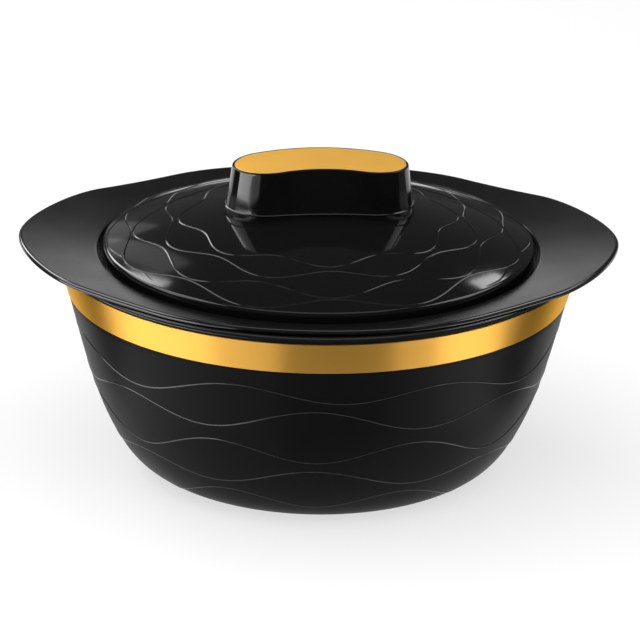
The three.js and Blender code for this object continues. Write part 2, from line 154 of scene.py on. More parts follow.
CAP_ROUND = 0.3


def bezier(a, b, c, d, steps):
    t = np.linspace(0, 1, steps + 1)[:, None]
    a, b, c, d = (np.array(p, float) for p in (a, b, c, d))
    return a * (1 - t) ** 3 + 3 * b * t * (1 - t) ** 2 + 3 * c * t**2 * (1 - t) + d * t**3


def arc(start, end, steps):
    """The cosine and sine at even turns between two angles in degrees."""
    angles = [math.radians(start + (end - start) * k / steps) for k in range(steps + 1)]
    return [(math.cos(angle), math.sin(angle)) for angle in angles]


def rounded(corners, steps=4):
    """Points of a closed outline whose corners (radius, height, rounding) are rounded off."""
    points = []
    for i, (r, z, rounding) in enumerate(corners):
        here = np.array([r, z], float)
        if rounding == 0:
            points.append(here)
            continue
        before = np.array(corners[i - 1][:2], float) - here
        after = np.array(corners[(i + 1) % len(corners)][:2], float) - here
        a = before / np.linalg.norm(before)
        b = after / np.linalg.norm(after)
        half = math.acos(max(-1.0, min(1.0, float(a @ b)))) / 2
        reach = rounding / math.tan(half)
        centre = here + (a + b) / np.linalg.norm(a + b) * rounding / math.sin(half)
        start, end = here + a * reach - centre, here + b * reach - centre
        sweep = math.pi - 2 * half
        support = rounding * SUPPORT_SHARE
        points.append(here + a * (reach + support))
        for k in range(steps + 1):
            w = k / steps
            turn = math.sin((1 - w) * sweep) * start + math.sin(w * sweep) * end
            points.append(centre + turn / math.sin(sweep))
        points.append(here + b * (reach + support))
    return points


def turns(steps=TURN_STEPS):
    return np.linspace(0, 2 * math.pi, steps, endpoint=False)


def turned_row(r, z, theta):
    """A ring of points at a radius and height, each one number or one for each turn."""
    r = r + np.zeros_like(theta)
    z = z + np.zeros_like(theta)
    return np.stack([r * np.sin(theta), -r * np.cos(theta), z], axis=1)


def skin(name, rows, closed, body, nodes, look, marked_look=None, marked=()):
    """A mesh through rows of points, each row closed on itself, that rides on a CAD body.

    Where closed, the last row joins the first. The faces after a marked row have the marked look.
    """
    count = len(rows[0])
    places = np.concatenate(rows) * MM
    faces = []
    last = len(rows) if closed else len(rows) - 1
    for i in range(last):
        j = (i + 1) % len(rows)
        for k in range(count):
            n = (k + 1) % count
            faces.append((i * count + k, i * count + n, j * count + n, j * count + k))
    mesh = bpy.data.meshes.new(name)
    mesh.from_pydata(places.tolist(), [], faces)
    mesh.materials.append(look)
    if marked_look:
        mesh.materials.append(marked_look)
        marks = np.zeros(len(faces), np.int32)
        for row in marked:
            marks[row * count:(row + 1) * count] = 1
        mesh.polygons.foreach_set("material_index", marks)
    shape = bmesh.new()
    shape.from_mesh(mesh)
    bmesh.ops.remove_doubles(shape, verts=shape.verts, dist=1e-7)
    bmesh.ops.dissolve_degenerate(shape, edges=shape.edges, dist=1e-8)
    bmesh.ops.recalc_face_normals(shape, faces=shape.faces)
    if shape.calc_volume(signed=True) < 0:
        bmesh.ops.reverse_faces(shape, faces=shape.faces)
    shape.to_mesh(mesh)
    shape.free()
    mesh.shade_smooth()
    mesh.set_sharp_from_angle(angle=math.radians(SHARP_DEGREES))
    piece = bpy.data.objects.new(name, mesh)
    bpy.context.scene.collection.objects.link(piece)
    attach(piece, body)
    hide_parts(*nodes)
    return piece


def ring(name, corners, body, nodes, look, steps=PLAIN_STEPS):
    theta = turns(steps)
    rows = [turned_row(r, z, theta) for r, z in rounded(corners)]
    return skin(name, rows, True, body, nodes, look)


class Profile:
    """A curve of (radius, height) points, by the distance run along it."""

    def __init__(self, points):
        self.points = np.array(points, float)
        steps = np.linalg.norm(np.diff(self.points, axis=0), axis=1)
        self.run = np.concatenate([[0], np.cumsum(steps)])
        along = np.gradient(self.points, self.run, axis=0)
        along /= np.linalg.norm(along, axis=1)[:, None]
        self.normal = np.stack([along[:, 1], -along[:, 0]], axis=1)
        self.length = self.run[-1]

    def at(self, run, lift=0.0):
        r = np.interp(run, self.run, self.points[:, 0])
        z = np.interp(run, self.run, self.points[:, 1])
        nr = np.interp(run, self.run, self.normal[:, 0])
        nz = np.interp(run, self.run, self.normal[:, 1])
        return r + lift * nr, z + lift * nz

    def run_at_height(self, z):
        return np.interp(z, self.points[:, 1], self.run)

    def run_at_radius(self, r):
        return np.interp(r, self.points[:, 0], self.run)


# Raised lines: distance from the line's middle and height above the surface
LINE_SECTION = [
    (-0.48, 0.0), (-0.36, 0.03), (-0.22, 0.14),
    (0.0, 0.22),
    (0.22, 0.14), (0.36, 0.03), (0.48, 0.0),
]
LINE_REACH = LINE_SECTION[-1][0]
LINE_SUPPORT = 0.05
ROW_SPACING = 3.0


def lined_rows(profile, theta, lines, last, last_spacing=ROW_SPACING):
    """Rows along a profile up to a run, with a raised line along each wave, and the lines' rows.

    Each line is its run and the share of its full height, one number or one for each turn.
    """
    rows = []
    bands = []

    def add(run, lift=0.0):
        rows.append(turned_row(*profile.at(run, lift), theta))

    def add_plain(start, end, spacing):
        count = max(2, int(np.max(end - start) / spacing))
        for k in range(count):
            add(start + (end - start) * k / count)

    edge = np.zeros_like(theta)
    for place, share in lines:
        near = place - LINE_REACH
        add_plain(edge, near, ROW_SPACING)
        add(near - LINE_SUPPORT)
        bands += range(len(rows) + 1, len(rows) + len(LINE_SECTION) - 2)
        for offset, height in LINE_SECTION:
            add(place + offset, height * share)
        edge = place + LINE_REACH + LINE_SUPPORT
        add(edge)
    add_plain(edge, last, last_spacing)
    add(last)
    return rows, bands


# Body, with five wavy lines round its flank: height, swing and phase in degrees
BODY_WAVES = [(12.3, -5.3, 0), (27.15, 4.35, 0), (42.9, -5.9, 0), (62.4, 5.4, 0), (77.5, -4.75, 6)]
BODY_WAVE_COUNT = 7
BODY_SWAY = 4.0
BODY_SWAY_COUNT = 3
FLANK_STEPS = 400
FLANK_INSIDE_STEPS = 24
# Edge of the recess in the base: distance from its radius and height
BASE_RECESS_SECTION = [(-3.5, 2.0), (-2.0, 1.8), (-0.6, 0.5), (0.4, 0.0), (2.0, 0.0)]


def brim_top(r):
    return BRIM_HEIGHT + (r - RECESS_RADIUS) * BRIM_RISE


def neck_top(r):
    return brim_top(r) - BRIM_WALL - FIT_GAP


def flank_points(steps):
    lean = math.radians(FLANK_LEAN_DEGREES)
    r, z = FLANK_END
    pull = (r - FLANK_PULL * math.sin(lean), z - FLANK_PULL * math.cos(lean))
    return bezier(FLANK_START, FLANK_START_PULL, pull, FLANK_END, steps)


def body_piece(look, line_look):
    theta = turns()
    flank = Profile(flank_points(FLANK_STEPS))
    sway = BODY_SWAY * np.cos(BODY_SWAY_COUNT * theta)
    lines = []
    for height, swing, phase in BODY_WAVES:
        wave = swing * np.cos(BODY_WAVE_COUNT * (theta - math.radians(phase)))
        lines.append((flank.run_at_height(height + wave + sway), 1.0))
    rows = [turned_row(PLUG_HOLE_RADIUS, BASE_RECESS_DEPTH, theta)]
    rows += [turned_row(BASE_RECESS_RADIUS + offset, z, theta) for offset, z in BASE_RECESS_SECTION]
    flank_rows, bands = lined_rows(flank, theta, lines, flank.length - BODY_EDGE_ROUND)
    bands = [band + len(rows) for band in bands]
    rows += flank_rows
    flank_radius, flank_top = FLANK_END
    profile = [
        (flank_radius - BODY_EDGE_BEVEL, flank_top - BODY_EDGE_BEVEL / 2),
        (flank_radius - BODY_EDGE_ROUND, flank_top),
        (flank_radius - BAND_SEAT, flank_top),
        (BAND_TOP[0] - BAND_SEAT, NECK_BOTTOM),
        (NECK_RADIUS - BODY_EDGE_ROUND - SUPPORT, NECK_BOTTOM),
        (NECK_RADIUS - BODY_EDGE_ROUND, NECK_BOTTOM),
        (NECK_RADIUS - BODY_EDGE_BEVEL, NECK_BOTTOM + BODY_EDGE_BEVEL),
        (NECK_RADIUS, NECK_BOTTOM + BODY_EDGE_ROUND),
    ]
    shoulder = NECK_RADIUS - NECK_ROUND
    centre = neck_top(shoulder) - NECK_ROUND
    neck = [
        (shoulder + NECK_ROUND * c, centre + NECK_ROUND * s)
        for c, s in arc(0, 90 + BRIM_LEAN_DEGREES, 10)
    ]
    neck_start = len(rows) + len(profile)
    bands += range(neck_start, neck_start + len(neck))
    profile += neck
    inside = Profile(flank_points(FLANK_INSIDE_STEPS))
    profile += [
        (NECK_INSIDE + SUPPORT, neck_top(NECK_INSIDE)),
        (NECK_INSIDE, neck_top(NECK_INSIDE) - NECK_INSIDE_BEVEL),
        (NECK_INSIDE, NECK_BOTTOM),
        *(inside.points - inside.normal * BODY_WALL)[::-1],
        (BASE_RECESS_RADIUS + BASE_RECESS_DEPTH, BODY_WALL),
        (BASE_RECESS_RADIUS, BODY_WALL + BASE_RECESS_DEPTH),
        (PLUG_HOLE_RADIUS, BODY_WALL + BASE_RECESS_DEPTH),
    ]
    rows += [turned_row(r, z, theta) for r, z in profile]
    return skin(
        "body_shell", rows, True, "casserole", ["outer_body"], look, line_look, bands
    )


def band_piece(look):
    corners = [
        (*BAND_BOTTOM, BAND_ROUND),
        (*BAND_TOP, BAND_ROUND),
        (BAND_TOP[0] - BAND_WALL, BAND_TOP[1], BAND_BACK_ROUND),
        (BAND_BOTTOM[0] - BAND_WALL, BAND_BOTTOM[1], BAND_BACK_ROUND),
    ]
    return ring("gold_ring", corners, "casserole", ["gold_band"], look, TURN_STEPS)


# Collar: a plate that rises outwards as a shallow cone, cut to a lens with two wings
OUTLINE_CURVE_STEPS = 60
OUTLINE_LINE_STEPS = 30
BRIM_TOP_SHARES = [0.03, 0.1, 0.25, 0.5, 0.75, 0.9, 0.97, 0.995]
BRIM_UNDER_SHARES = [0.05, 0.5, 0.95]
SKIRT_EDGE_GAP = 0.8  # least distance of the skirt's outside from the brim's edge
SKIRT_INSIDE_GAP = 3.0  # and of its inside
NORMAL_SMOOTHINGS = 3


def brim_outline(steps):
    """Points of the outline at an even spacing, and the normals that point inwards."""
    front = (0.0, BRIM_HALF_DEPTH)
    tip = (BRIM_HALF_LENGTH, 0.0)
    start, end = np.array(WING_START), np.array(WING_END)
    along = (end - start) / np.linalg.norm(end - start)
    before, after = start - along * WING_PULL, end + along * WING_PULL
    quarter = np.concatenate([
        bezier(front, (FRONT_PULL, BRIM_HALF_DEPTH), before, start, OUTLINE_CURVE_STEPS)[:-1],
        start + (end - start) * np.linspace(0, 1, OUTLINE_LINE_STEPS)[:-1, None],
        bezier(end, after, (BRIM_HALF_LENGTH, TIP_PULL), tip, OUTLINE_CURVE_STEPS),
    ])
    back = quarter[::-1] * [1, -1]
    right = np.concatenate([quarter, back[1:]])
    loop = np.concatenate([right, right[::-1][1:] * [-1, 1]])
    run = np.concatenate([[0], np.cumsum(np.linalg.norm(np.diff(loop, axis=0), axis=1))])
    even = np.linspace(0, run[-1], steps, endpoint=False)
    outline = np.stack([np.interp(even, run, loop[:, i]) for i in (0, 1)], axis=1)
    along = np.roll(outline, -1, axis=0) - np.roll(outline, 1, axis=0)
    along /= np.linalg.norm(along, axis=1)[:, None]
    inward = np.stack([along[:, 1], -along[:, 0]], axis=1)
    if (inward * outline).sum() > 0:
        inward = -inward
    for _ in range(NORMAL_SMOOTHINGS):
        inward = inward + np.roll(inward, 1, axis=0) + np.roll(inward, -1, axis=0)
        inward /= np.linalg.norm(inward, axis=1)[:, None]
    return outline, inward


def collar_piece(look, edge_look):
    outline, inward = brim_outline(TURN_STEPS)
    reach = np.linalg.norm(outline, axis=1)
    out = outline / reach[:, None]

    def circle(r, z):
        r = r + np.zeros_like(reach)
        z = z + np.zeros_like(reach)
        return np.stack([out[:, 0] * r, out[:, 1] * r, z], axis=1)

    def edge(inset, drop):
        flat = outline + inward * inset
        height = brim_top(np.linalg.norm(flat, axis=1)) - drop
        return np.stack([flat[:, 0], flat[:, 1], height], axis=1)

    def between(a, b, shares, drop):
        made = []
        for share in shares:
            row = a + (b - a) * share
            row[:, 2] = brim_top(np.hypot(row[:, 0], row[:, 1])) - drop
            made.append(row)
        return made

    rows = [
        circle(RECESS_RADIUS - RECESS_DRAFT, LEDGE_TOP),
        circle(RECESS_RADIUS, BRIM_HEIGHT - RECESS_LIP_ROUND - RECESS_SUPPORT),
    ]
    for c, s in arc(0, 90, 4):
        r = RECESS_RADIUS + RECESS_LIP_ROUND * (1 - c)
        rows.append(circle(r, brim_top(r) - RECESS_LIP_ROUND * (1 - s)))
    inner = circle(RECESS_RADIUS + RECESS_LIP_ROUND, 0.0)
    rows += between(inner, edge(BRIM_TOP_ROUND, 0.0), BRIM_TOP_SHARES, 0.0)
    rounding = [edge(BRIM_TOP_ROUND * (1 - s), BRIM_TOP_ROUND * (1 - c)) for c, s in arc(0, 90, 6)]
    polished = range(len(rows), len(rows) + len(rounding))
    rows += rounding
    for c, s in arc(0, 90, 4):
        rows.append(edge(BRIM_LOW_ROUND * (1 - c), BRIM_WALL - BRIM_LOW_ROUND * (1 - s)))
    skirt = np.minimum(SKIRT_RADIUS, reach - SKIRT_EDGE_GAP)
    skirt_in = np.minimum(SKIRT_INSIDE, reach - SKIRT_INSIDE_GAP)
    rows += between(edge(BRIM_LOW_ROUND, 0.0), circle(skirt, 0.0), BRIM_UNDER_SHARES, BRIM_WALL)
    for r, z in [
        (skirt, brim_top(skirt) - BRIM_WALL),
        (skirt, NECK_BOTTOM),
        (SKIRT_FOOT, SKIRT_BOTTOM),
        (SKIRT_FOOT - SKIRT_RADIUS + SKIRT_INSIDE, SKIRT_BOTTOM),
        (skirt_in, NECK_BOTTOM),
        (skirt_in, brim_top(skirt_in) - BRIM_WALL),
        (RECESS_WALL_RADIUS, brim_top(RECESS_WALL_RADIUS) - BRIM_WALL),
        (RECESS_WALL_RADIUS - RECESS_DRAFT, LEDGE_BOTTOM),
        (LEDGE_RADIUS + LEDGE_BEVEL, LEDGE_BOTTOM),
        (LEDGE_RADIUS, LEDGE_BOTTOM + LEDGE_BEVEL),
        (LEDGE_RADIUS, LEDGE_TOP - LEDGE_BEVEL),
        (LEDGE_RADIUS + LEDGE_BEVEL, LEDGE_TOP),
    ]:
        rows.append(circle(r, z))
    return skin(
        "brim", rows, True, "casserole", ["brim_collar"], look, edge_look, polished
    )


# Inner bowl: spun steel with a flat lip
BOWL_FLOOR_RADII = [0.0, 20.0, 45.0, 60.0]
BOWL_UNDER_RADII = [45.0, 0.0]
BOWL_SIDE_STEPS = 48
BOWL_LIP_SUPPORT = 1.0


def bowl_piece(look):
    lean = math.radians(BOWL_LEAN_DEGREES)
    floor_top = BOWL_FLOOR_BOTTOM + BOWL_WALL
    mouth = (BOWL_MOUTH_RADIUS, BOWL_LIP_BOTTOM)
    pull = (mouth[0] - BOWL_PULL * math.sin(lean), mouth[1] - BOWL_PULL * math.cos(lean))
    floor_edge = (BOWL_FLOOR_RADIUS, floor_top)
    side = Profile(bezier(floor_edge, BOWL_FLOOR_PULL, pull, mouth, BOWL_SIDE_STEPS))
    profile = [(r, floor_top) for r in BOWL_FLOOR_RADII]
    profile += [*side.points]
    for c, s in arc(0, 90, 5)[1:]:
        profile.append((BOWL_MOUTH_RADIUS + BOWL_WALL * (1 - c), BOWL_LIP_BOTTOM + BOWL_WALL * s))
    lip_start = BOWL_MOUTH_RADIUS + BOWL_WALL
    profile.append((lip_start + BOWL_LIP_SUPPORT, BOWL_LIP_BOTTOM + BOWL_WALL))
    half = BOWL_WALL / 2
    for c, s in arc(90, -90, 6):
        profile.append((BOWL_LIP_RADIUS - half + half * c, BOWL_LIP_BOTTOM + half + half * s))
    profile.append((lip_start, BOWL_LIP_BOTTOM))
    profile += [*(side.points + side.normal * BOWL_WALL)[::-1]]
    profile += [(r, BOWL_FLOOR_BOTTOM) for r in BOWL_UNDER_RADII]
    theta = turns(PLAIN_STEPS)
    rows = [turned_row(r, z, theta) for r, z in profile]
    return skin("steel_bowl", rows, False, "casserole", ["inner_bowl"], look)


# Lid: a shallow dome with wavy lines in rings, and a rounded edge
DOME_EDGE_RADIUS = LID_RADIUS - LID_EDGE_ROUND + LID_EDGE_ROUND * math.sin(DOME_LEAN)
DOME_EDGE_HEIGHT = LID_SIDE_TOP + LID_EDGE_ROUND * math.cos(DOME_LEAN)
DOME_RADIUS = DOME_EDGE_RADIUS / math.sin(DOME_LEAN)
DOME_CENTRE = DOME_EDGE_HEIGHT - DOME_RADIUS * math.cos(DOME_LEAN)
DOME_STEPS = 200
LID_EDGE_STEPS = 16
LID_EDGE_SPACING = 0.3
LID_INSIDE_RADII = [LID_INSIDE - LID_EDGE_ROUND, 90.0, 60.0, 30.0, 0.0]
# The rings of lines: radius, swing and how far the ring lies towards the front
LID_WAVES = [(68.5, -3.8, 1.2), (79.5, 4.0, 2.0), (91.0, -4.7, 3.5), (101.2, 4.4, 3.6)]
LID_WAVE_COUNT = 8
LID_WAVE_PHASE = math.radians(18)
# One more line runs outside the others, but not in front, and fades out where it would meet them
SIDE_WAVE = (107.6, -2.6)
SIDE_GAP = 1.1
SIDE_FADE = 0.8
SIDE_EDGE_GAP = 0.7
SIDE_START = math.radians(50)
SIDE_START_FADE = math.radians(8)


def dome_height(r, inset=0.0):
    return DOME_CENTRE + np.sqrt((DOME_RADIUS - inset) ** 2 - np.square(r))


def circle_points(r, z, radius, angles):
    """Points of a circle round (r, z), by the angle from straight up."""
    return np.stack([r + radius * np.sin(angles), z + radius * np.cos(angles)], axis=1)


def lid_piece(look):
    theta = turns()
    lean = np.linspace(0, DOME_LEAN, DOME_STEPS)
    edge_lean = np.linspace(DOME_LEAN, math.pi / 2, LID_EDGE_STEPS)[1:]
    top = Profile(np.concatenate([
        circle_points(0.0, DOME_CENTRE, DOME_RADIUS, lean),
        circle_points(LID_RADIUS - LID_EDGE_ROUND, LID_SIDE_TOP, LID_EDGE_ROUND, edge_lean),
    ]))
    top.normal = -top.normal
    wave = np.cos(LID_WAVE_COUNT * (theta + LID_WAVE_PHASE))
    lines = []
    for radius, swing, sway in LID_WAVES:
        place = radius + swing * wave + sway * np.cos(theta)
        lines.append((top.run_at_radius(place), 1.0))
    nearest = lines[-1][0] + SIDE_GAP
    outermost = top.run_at_radius(DOME_EDGE_RADIUS - SIDE_EDGE_GAP)
    drawn = top.run_at_radius(SIDE_WAVE[0] + SIDE_WAVE[1] * wave)
    aside = np.abs((theta + math.pi) % (2 * math.pi) - math.pi)
    share = np.clip((drawn - nearest) / SIDE_FADE, 0, 1)
    share *= np.clip((aside - SIDE_START) / SIDE_START_FADE, 0, 1)
    lines.append((np.minimum(np.maximum(drawn, nearest), outermost), share))
    rows, _ = lined_rows(top, theta, lines, top.length, LID_EDGE_SPACING)
    for r, z in [
        (LID_RADIUS, LID_SIDE_TOP - LID_EDGE_SUPPORT),
        (LID_RADIUS, LID_BOTTOM + LID_FOOT_ROUND),
        (LID_RADIUS - LID_FOOT_MIDDLE, LID_BOTTOM + LID_FOOT_MIDDLE),
        (LID_RADIUS - LID_FOOT_ROUND, LID_BOTTOM),
        (LID_INSIDE + LID_FOOT_BEVEL, LID_BOTTOM),
        (LID_INSIDE, LID_BOTTOM + LID_FOOT_BEVEL),
        (LID_INSIDE, LID_SIDE_TOP - LID_EDGE_ROUND),
        *[(r, float(dome_height(r, LID_WALL))) for r in LID_INSIDE_RADII],
    ]:
        rows.append(turned_row(r, z, theta))
    return skin("lid_dome", rows, False, "lid", ["lid_shell"], look)


# Liner: a plate with a low crown, a drop inside the bowl's mouth and a flange
LINER_CROWN_RADII = [PLUG_HOLE_RADIUS, 30.0, 50.0, 70.0, 90.0]


def liner_height(r, above):
    return LINER_DROP_BOTTOM + above + LINER_CROWN * (1 - (r / LINER_DROP_RADIUS) ** 2)


def liner_piece(look):
    inside = LINER_DROP_RADIUS - LINER_WALL
    corners = [(r, liner_height(r, 0), 0) for r in LINER_CROWN_RADII]
    corners += [
        (LINER_DROP_RADIUS, LINER_DROP_BOTTOM, LINER_DROP_ROUND),
        (LINER_DROP_RADIUS, LINER_BOTTOM, LINER_ROUND),
        (LINER_FLANGE_RADIUS, LINER_BOTTOM, LINER_ROUND),
        (LINER_FLANGE_RADIUS, LINER_BOTTOM + LINER_WALL, LINER_ROUND),
        (inside, LINER_BOTTOM + LINER_WALL, LINER_INSIDE_ROUND),
        (inside, liner_height(inside, LINER_WALL), LINER_ROUND),
    ]
    corners += [(r, liner_height(r, LINER_WALL), 0) for r in LINER_CROWN_RADII[::-1]]
    return ring("lid_plate", corners, "lid", ["lid_liner"], look)


# Plugs that close the filling holes
def plug_piece(name, node, body, look):
    low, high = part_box(node)
    bottom, top = low.z / MM, high.z / MM
    cap_radius, cap_top = high.x / MM, bottom + PLUG_CAP_WALL
    stem = PLUG_HOLE_RADIUS - FIT_GAP
    places = [(cap_radius, bottom), (cap_radius, cap_top), (stem, cap_top), (stem, top)]
    corners = [(r, z, rounding) for (r, z), rounding in zip(places, PLUG_CAP_ROUNDS)]
    theta = turns(PLUG_STEPS)
    outline = rounded([(0.0, bottom, 0), *corners, (0.0, top, 0)])
    rows = [turned_row(r, z, theta) for r, z in outline]
    return skin(name, rows, False, body, [node], look)


# Knob: a kidney outline that widens to its foot, with a gold plate in its arched top
KNOB_TOP_HEIGHT = float(dome_height(0.0)) + KNOB_RISE
KNOB_FOOT_HEIGHT = float(dome_height(KNOB_FOOT[0] + KNOB_FOOT[2])) - KNOB_FOOT_SINK
KIDNEY_SIDE_STEPS = 56
KIDNEY_END_STEPS = 44
KNOB_LIFT = 0.05  # distance of the foot from the dome
FOOT_TRIES = 12  # steps in which the foot's outline settles on the dome
KNOB_FOOT_SHARES = [0.0, 0.35, 0.7, 0.92, 1.0]
# The bead round the foot: how far it stands out and its height above its start
BEAD = [
    (0.1, 0.0), (0.4, 0.02), (0.55, 0.15), (0.6, 0.32), (0.5, 0.5), (0.2, 0.64), (0.03, 0.8),
]
BEAD_START = 0.6
BEAD_HEIGHT = 1.3
KNOB_SIDE_SHARES = [0.0, 0.12, 0.25, 0.4, 0.55, 0.7, 0.85, 0.93]
CAP_UNDER_SHARES = [0.0, 0.5, 1.0]
CAP_TOP_SHARES = [0.97, 0.9, 0.75, 0.5, 0.25, 0.0]


def kidney(half_spine, sag, half_width):
    """Points of the outline, and for each one the point of the spine it belongs to."""
    spine_radius = (half_spine**2 + sag**2) / (2 * sag)
    reach = math.asin(half_spine / spine_radius)
    outline, spine = [], []

    def add(turn, direction):
        """The point at a direction from the spine's point at a turn along it."""
        x, y = spine_radius * math.sin(turn), spine_radius * (math.cos(turn) - 1)
        spine.append((x, y))
        outline.append((x + half_width * math.sin(direction), y + half_width * math.cos(direction)))

    for end, facing in ((reach, 0.0), (-reach, math.pi)):
        for k in range(KIDNEY_SIDE_STEPS):
            turn = -end + 2 * end * k / KIDNEY_SIDE_STEPS
            add(turn, turn + facing)
        for k in range(KIDNEY_END_STEPS):
            add(end, end + facing + math.pi * k / KIDNEY_END_STEPS)
    return np.array(outline), np.array(spine)


def knob_top_at(x):
    return KNOB_TOP_HEIGHT - KNOB_ARCH * (x / KNOB_HALF_LENGTH) ** 2


def knob_flat(share, inset):
    """The outline at a share of the height, for all or each point, drawn in by an inset."""
    top, top_spine = kidney(*KNOB_TOP)
    foot, foot_spine = kidney(*KNOB_FOOT)
    share = np.reshape(share + np.zeros(len(top)), (-1, 1))
    place = foot + (top - foot) * share
    spine = foot_spine + (top_spine - foot_spine) * share
    inward = spine - place
    width = np.linalg.norm(inward, axis=1)[:, None]
    return place + inward * (inset / width), spine


def lid_turned(flat, z):
    x = flat[:, 0] * math.cos(LID_TURN) - flat[:, 1] * math.sin(LID_TURN)
    y = flat[:, 0] * math.sin(LID_TURN) + flat[:, 1] * math.cos(LID_TURN)
    return np.stack([x, y, z + np.zeros(len(flat))], axis=1)


def dome_row(flat):
    """A row just above the dome."""
    return lid_turned(flat, dome_height(np.hypot(flat[:, 0], flat[:, 1])) + KNOB_LIFT)


def crown_row(flat, drop):
    """A row at a drop below the arch of the knob's top."""
    return lid_turned(flat, knob_top_at(flat[:, 0]) - drop)


def knob_piece(look):
    top, _ = knob_flat(1.0, 0.0)
    rise = knob_top_at(top[:, 0]) - KNOB_FOOT_HEIGHT
    foot_share = np.zeros(len(top))
    for _ in range(FOOT_TRIES):
        flat, _ = knob_flat(foot_share, 0.0)
        height = dome_height(np.hypot(flat[:, 0], flat[:, 1])) + KNOB_LIFT
        foot_share = (height - KNOB_FOOT_HEIGHT) / rise
    foot, foot_spine = knob_flat(foot_share, 0.0)
    rows = [dome_row(foot_spine + (foot - foot_spine) * share) for share in KNOB_FOOT_SHARES]
    rows.append(dome_row(knob_flat(foot_share, -BEAD[0][0])[0]))
    level = float(dome_height(0.0)) + BEAD_START
    for outset, lift in BEAD:
        flat, _ = knob_flat((level + lift - KNOB_FOOT_HEIGHT) / rise, -outset)
        rows.append(lid_turned(flat, level + lift))
    start = (level + BEAD_HEIGHT - KNOB_FOOT_HEIGHT) / rise
    for t in KNOB_SIDE_SHARES:
        share = start + (1 - start) * t
        flat, _ = knob_flat(share, 0.0)
        rows.append(lid_turned(flat, KNOB_FOOT_HEIGHT + rise * share))
    crown = [(KNOB_CREST_ROUND * (1 - c), KNOB_CREST_ROUND * (1 - s)) for c, s in arc(0, 90, 5)]
    crown += [(KNOB_LIP - KNOB_LIP_BEVEL, 0.0), (KNOB_LIP, KNOB_LIP_BEVEL)]
    crown += [(KNOB_LIP, CAP_WALL + FIT_GAP), (KNOB_WALL, CAP_WALL + FIT_GAP)]
    rows += [crown_row(knob_flat(1.0, inset)[0], drop) for inset, drop in crown]
    pocket = float(dome_height(0.0)) + KNOB_FLOOR
    flat, spine = knob_flat((pocket - KNOB_FOOT_HEIGHT) / rise.max(), KNOB_WALL)
    rows += [lid_turned(flat, pocket), lid_turned(spine, pocket)]
    return skin("knob_grip", rows, False, "lid", ["knob_body"], look)


def cap_piece(look):
    inset = KNOB_LIP + FIT_GAP
    full, spine = knob_flat(1.0, inset)
    edge, _ = knob_flat(1.0, inset + CAP_ROUND)
    rows = [crown_row(spine + (full - spine) * share, CAP_WALL) for share in CAP_UNDER_SHARES]
    rows.append(crown_row(full, CAP_ROUND + SUPPORT))
    for c, s in arc(0, 90, 4):
        flat, _ = knob_flat(1.0, inset + CAP_ROUND * (1 - c))
        rows.append(crown_row(flat, CAP_ROUND * (1 - s)))
    rows += [crown_row(spine + (edge - spine) * share, 0.0) for share in CAP_TOP_SHARES]
    return skin("knob_plate", rows, False, "lid", ["knob_cap"], look)


# Nodes of materials and of the world
def fill_inputs(tree, node, inputs):
    """Sets each input to a value, or links it to the output of another node."""
    for name, value in inputs.items():
        if isinstance(value, bpy.types.NodeSocket):
            tree.links.new(value, node.inputs[name])
        else:
            node.inputs[name].default_value = value


def add_node(tree, kind, inputs=None, **settings):
    node = tree.nodes.new(kind)
    for name, value in settings.items():
        setattr(node, name, value)
    fill_inputs(tree, node, inputs or {})
    return node


def grey(level):
    return (level, level, level, 1)


# Most values of a noise lie in this range
NOISE_LOW, NOISE_HIGH = 0.3, 0.7


class Surface:
    """A material with one shader and what varies it. Scales are per metre, and depths in metres."""

    def __init__(self, name, color, metallic, roughness, specular=0.5):
        self.look = bpy.data.materials.new(name)
        self.look.use_nodes = True
        self.tree = self.look.node_tree
        self.shader = self.tree.nodes["Principled BSDF"]
        self.color, self.roughness = color, roughness
        self.shade({"Base Color": (*color, 1), "Metallic": metallic})
        self.shade({"Roughness": roughness, "Specular IOR Level": specular})
        self.place = self.add("ShaderNodeTexCoord").outputs["Object"]

    def add(self, kind, inputs=None, **settings):
        return add_node(self.tree, kind, inputs, **settings)

    def shade(self, inputs):
        fill_inputs(self.tree, self.shader, inputs)

    def noise(self, scale, detail=3.0, roughness=0.5, place=None):
        made = self.add("ShaderNodeTexNoise", {
            "Scale": scale, "Detail": detail, "Roughness": roughness,
            "Vector": self.place if place is None else place,
        })
        return made.outputs["Fac"]

    def tint(self, value, spread):
        """Varies the colour by a share of itself."""
        low = tuple(c * (1 - spread) for c in self.color)
        high = tuple(c * (1 + spread) for c in self.color)
        inputs = {"A": (*low, 1), "B": (*high, 1), "Factor": value}
        mixed = self.add("ShaderNodeMix", inputs, data_type="RGBA")
        self.shade({"Base Color": mixed.outputs["Result"]})

    def roughen(self, value, spread):
        made = self.add("ShaderNodeMapRange", {
            "From Min": NOISE_LOW, "From Max": NOISE_HIGH,
            "To Min": self.roughness - spread, "To Max": self.roughness + spread,
            "Value": value,
        })
        self.shade({"Roughness": made.outputs["Result"]})

    def bump(self, height, depth, strength):
        inputs = {"Strength": strength, "Distance": depth, "Height": height}
        self.shade({"Normal": self.add("ShaderNodeBump", inputs).outputs["Normal"]})

    def brush_round(self, anisotropy):
        """Brushing that runs round the Z axis."""
        made = self.add("ShaderNodeTangent", direction_type="RADIAL", axis="Z")
        self.shade({"Anisotropic": anisotropy, "Tangent": made.outputs["Tangent"]})


# Materials
def satin_black(name, specular, roughness, color=(0.0055, 0.0056, 0.006)):
    surface = Surface(name, color, metallic=0.0, roughness=roughness, specular=specular)
    cloudy = surface.noise(scale=45.0)
    surface.tint(cloudy, spread=0.12)
    surface.roughen(cloudy, spread=0.025)
    surface.bump(surface.noise(scale=2600.0, detail=2.0), depth=0.000012, strength=0.5)
    return surface.look


